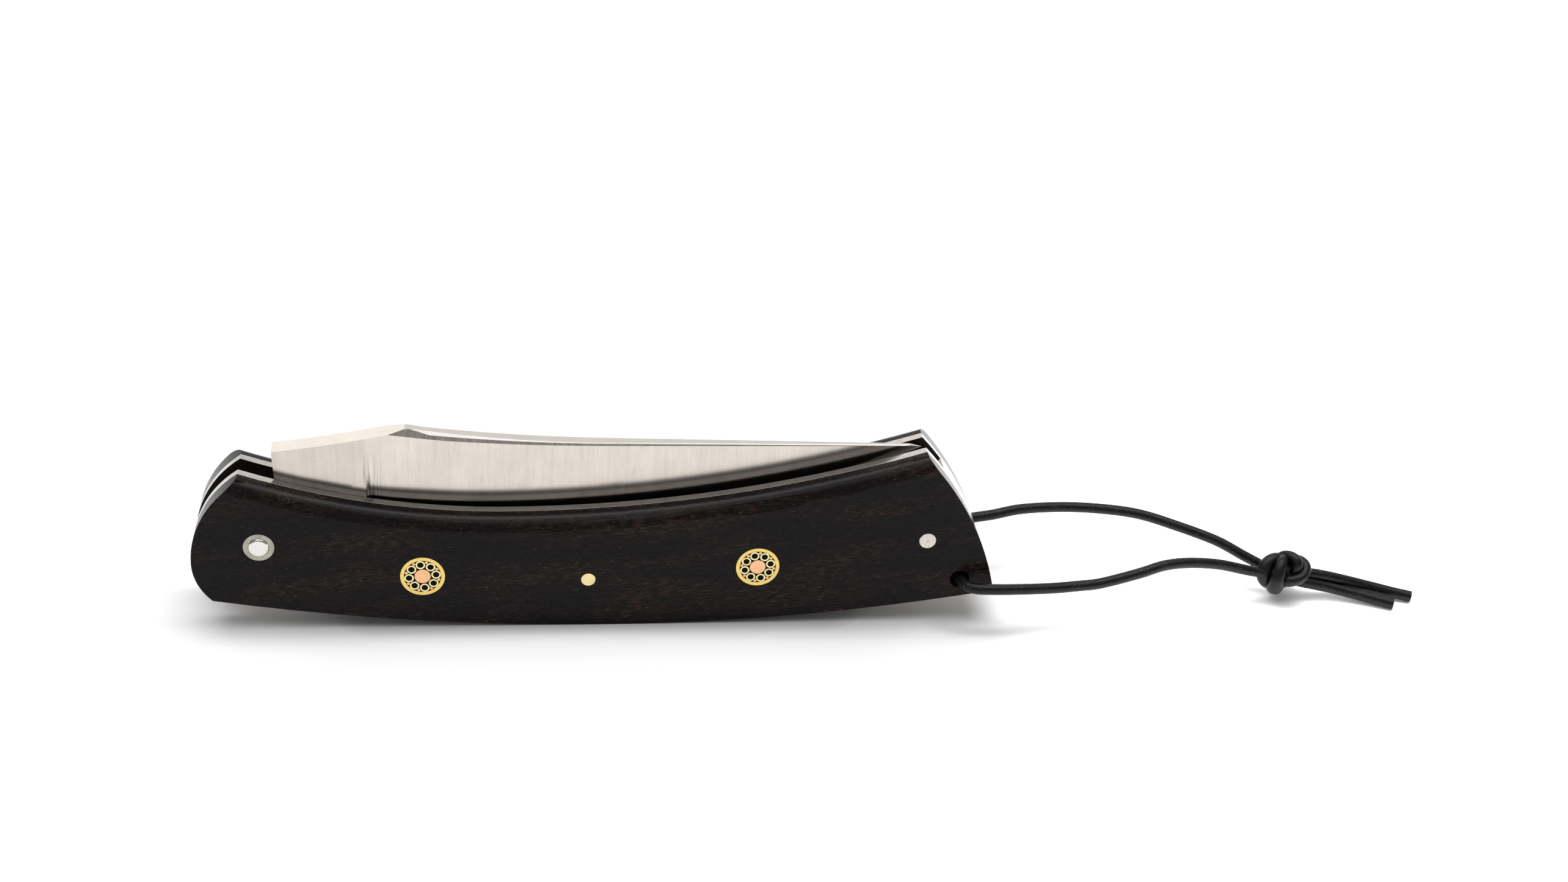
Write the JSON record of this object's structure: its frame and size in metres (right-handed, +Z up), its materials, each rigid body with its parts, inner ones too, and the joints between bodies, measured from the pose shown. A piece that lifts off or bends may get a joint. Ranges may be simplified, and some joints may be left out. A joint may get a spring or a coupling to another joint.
{
  "type": "folding pocket knife",
  "caption": "Slip-joint folding knife that opens at a thumb ramp: dark wood scales on steel liners, mosaic pins, hollow-topped handle, leather lanyard.",
  "frame": {"origin": "lowest point of the handle's convex back, midway between the ends and in the middle of the thickness", "axes": "+X along the handle from the pivot to the butt, +Y through the thickness from the front scale to the rear one, +Z up, from the back to the open top edge"},
  "size_m": [0.1733, 0.0198, 0.0284],
  "materials": {
    "ebony": "oiled and buffed ebony",
    "liner_steel": "satin",
    "blade_steel": "satin, brushed across the blade",
    "spring_steel": "satin",
    "pin_steel": "satin",
    "collar_steel": "brushed",
    "brass": "polished",
    "copper": "polished copper",
    "resin": "black epoxy resin",
    "cord_leather": "black waxed round leather"
  },
  "bodies": {
    "handle": {"front_scale": "ebony", "rear_scale": "ebony", "front_liner": "liner_steel", "rear_liner": "liner_steel", "backspring": "spring_steel", "pivot_pin": "pin_steel", "front_collar": "collar_steel", "rear_collar": "collar_steel", "spring_pin": "brass", "rear_pin": "pin_steel", "mosaic_tubes": "brass", "mosaic_small_tubes": "brass", "mosaic_wires": "copper", "mosaic_cores": "copper", "mosaic_resin": "resin", "lanyard_front_strand": "cord_leather", "lanyard_rear_strand": "cord_leather", "lanyard_knot": "cord_leather", "lanyard_tails": "cord_leather"},
    "blade": {"blade": "blade_steel"}
  },
  "joints": [
    {"name": "blade_pivot", "type": "hinge", "parent": "handle", "child": "blade", "pos_m": [-0.046, 0, 0.013], "axis": [0, -1, 0], "range_deg": [0, 180], "deforming": ["backspring"]}
  ]
}
